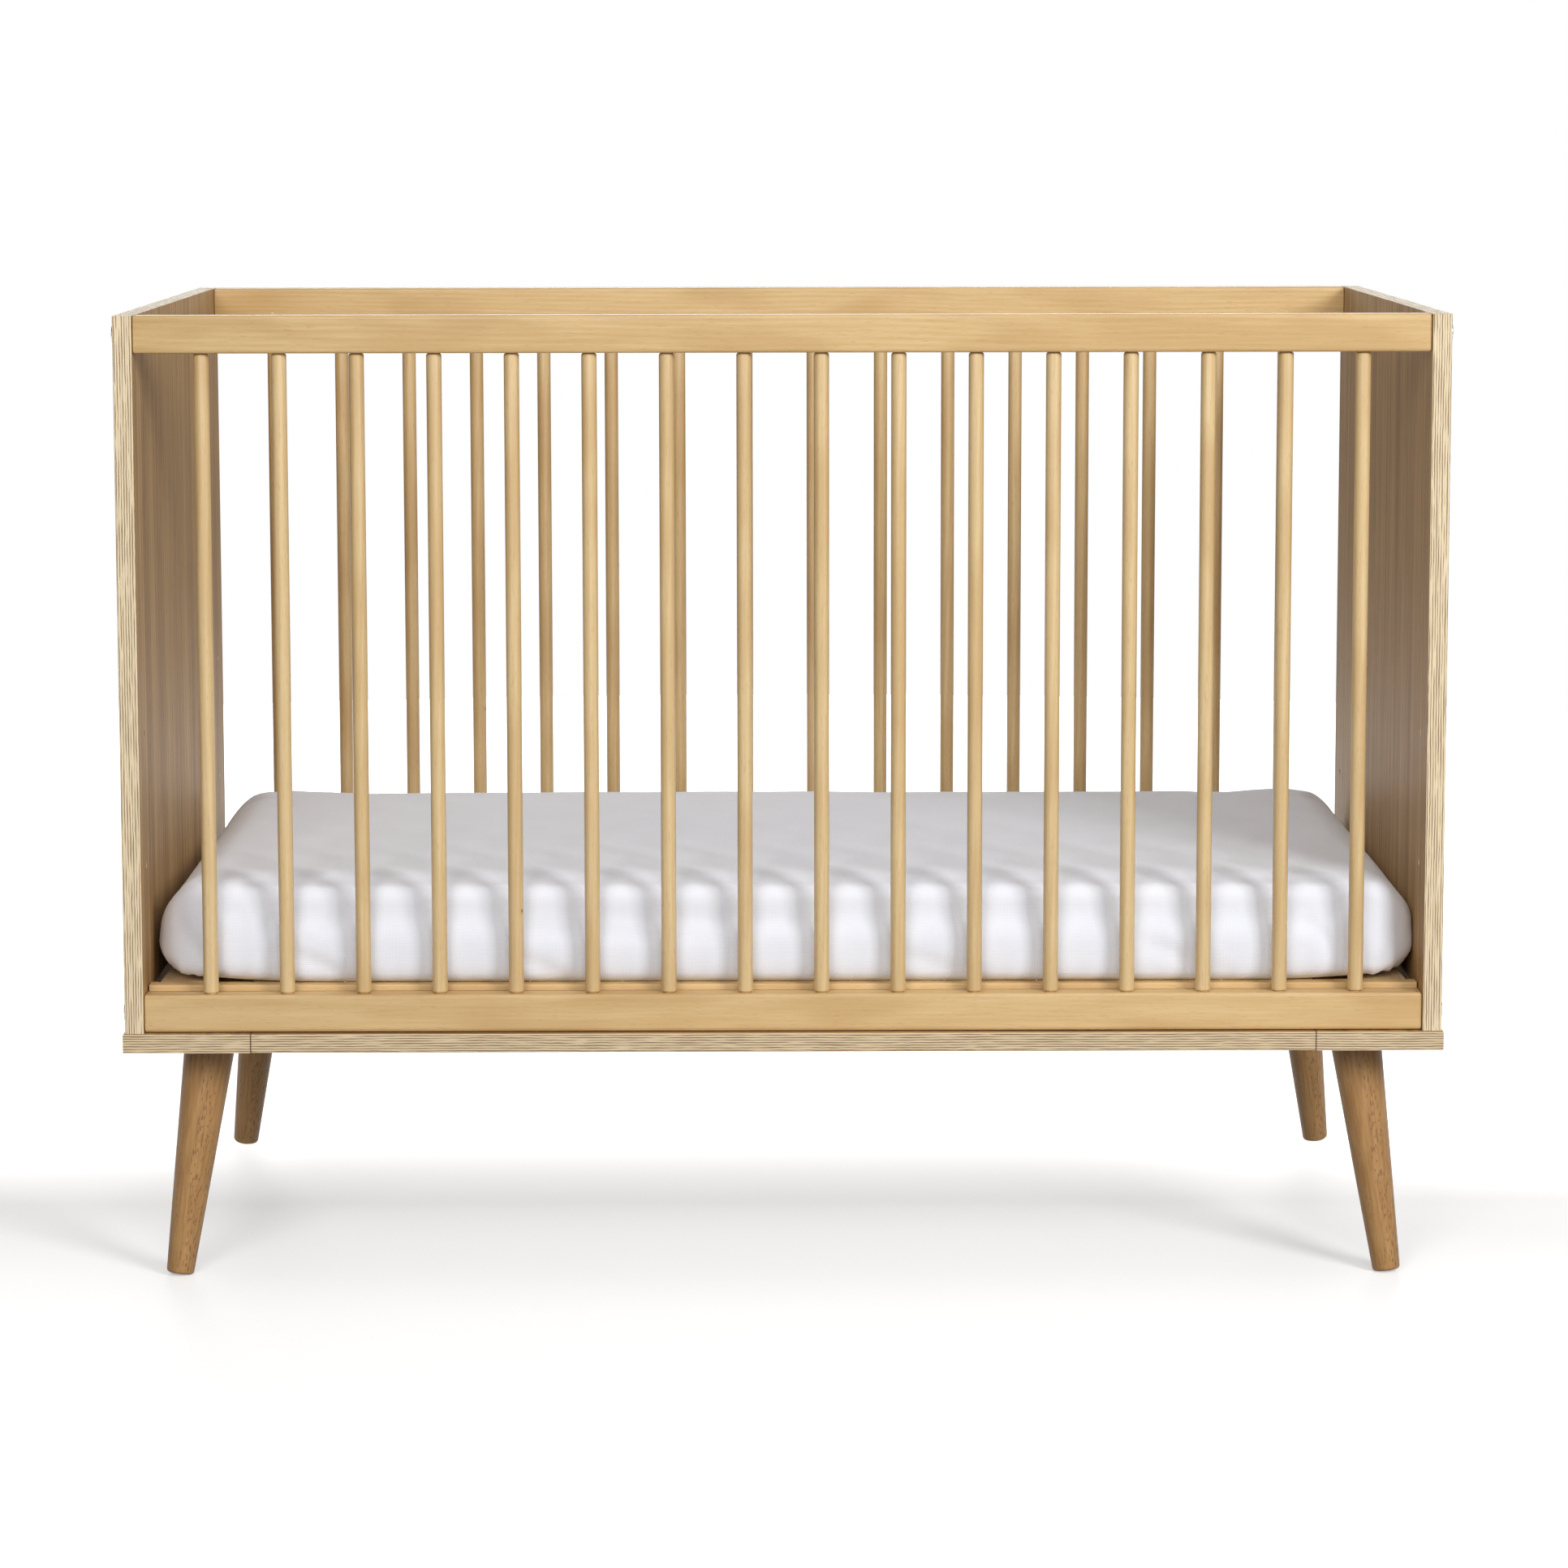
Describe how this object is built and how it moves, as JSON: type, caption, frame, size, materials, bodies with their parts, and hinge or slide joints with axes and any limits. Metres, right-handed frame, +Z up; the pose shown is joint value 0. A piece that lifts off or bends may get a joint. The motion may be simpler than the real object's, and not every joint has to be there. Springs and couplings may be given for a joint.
{
  "type": "baby crib",
  "caption": "Baby crib: two solid end panels, round spindle sides, a slatted mattress base that hooks in at three heights, a lift-out mattress, and splayed tapered legs.",
  "frame": {"origin": "on the floor, below the middle of the crib", "axes": "+X along the length, +Z up, -Y to the front that the picture shows"},
  "size_m": [1.244, 0.664, 0.92],
  "materials": {
    "oak_board": "matt oak-look board with fine dark pores",
    "beech": "satin lacquered solid beech",
    "leg_beech": "satin turned beech with ray flecks",
    "slat_wood": "sanded raw slats",
    "steel": "zinc-plated steel",
    "sheet": "white cotton jersey fitted sheet"
  },
  "bodies": {
    "root": {"end_panel_left": "oak_board", "end_panel_right": "oak_board", "base_board_left": "oak_board", "base_board_right": "oak_board", "base_board_front": "oak_board", "base_board_back": "oak_board", "leg_front_left": "leg_beech", "leg_front_right": "leg_beech", "leg_back_left": "leg_beech", "leg_back_right": "leg_beech", "front_lower_rail": "beech", "front_upper_rail": "beech", "back_lower_rail": "beech", "back_upper_rail": "beech", "front_spindle_01": "beech", "front_spindle_02": "beech", "front_spindle_03": "beech", "front_spindle_04": "beech", "front_spindle_05": "beech", "front_spindle_06": "beech", "front_spindle_07": "beech", "front_spindle_08": "beech", "front_spindle_09": "beech", "front_spindle_10": "beech", "front_spindle_11": "beech", "front_spindle_12": "beech", "front_spindle_13": "beech", "front_spindle_14": "beech", "front_spindle_15": "beech", "front_spindle_16": "beech", "back_spindle_01": "beech", "back_spindle_02": "beech", "back_spindle_03": "beech", "back_spindle_04": "beech", "back_spindle_05": "beech", "back_spindle_06": "beech", "back_spindle_07": "beech", "back_spindle_08": "beech", "back_spindle_09": "beech", "back_spindle_10": "beech", "back_spindle_11": "beech", "back_spindle_12": "beech", "back_spindle_13": "beech", "back_spindle_14": "beech", "back_spindle_15": "beech", "back_spindle_16": "beech", "front_lower_bolt_left": "steel", "front_upper_bolt_left": "steel", "front_lower_bolt_right": "steel", "front_upper_bolt_right": "steel", "back_lower_bolt_left": "steel", "back_upper_bolt_left": "steel", "back_lower_bolt_right": "steel", "back_upper_bolt_right": "steel", "support_bolt_front_left": "steel", "support_bolt_front_right": "steel", "support_bolt_back_left": "steel", "support_bolt_back_right": "steel"},
    "mattress_base": {"mattress_base": "slat_wood"},
    "mattress": {"mattress": "sheet"}
  },
  "joints": [
    {"name": "mattress_base_height", "type": "slide", "parent": "root", "child": "mattress_base", "axis": [0, 0, 1], "range_m": [0, 0.25]},
    {"name": "mattress_lift", "type": "slide", "parent": "mattress_base", "child": "mattress", "axis": [0, 0, 1], "range_m": [0, 0.68]}
  ]
}
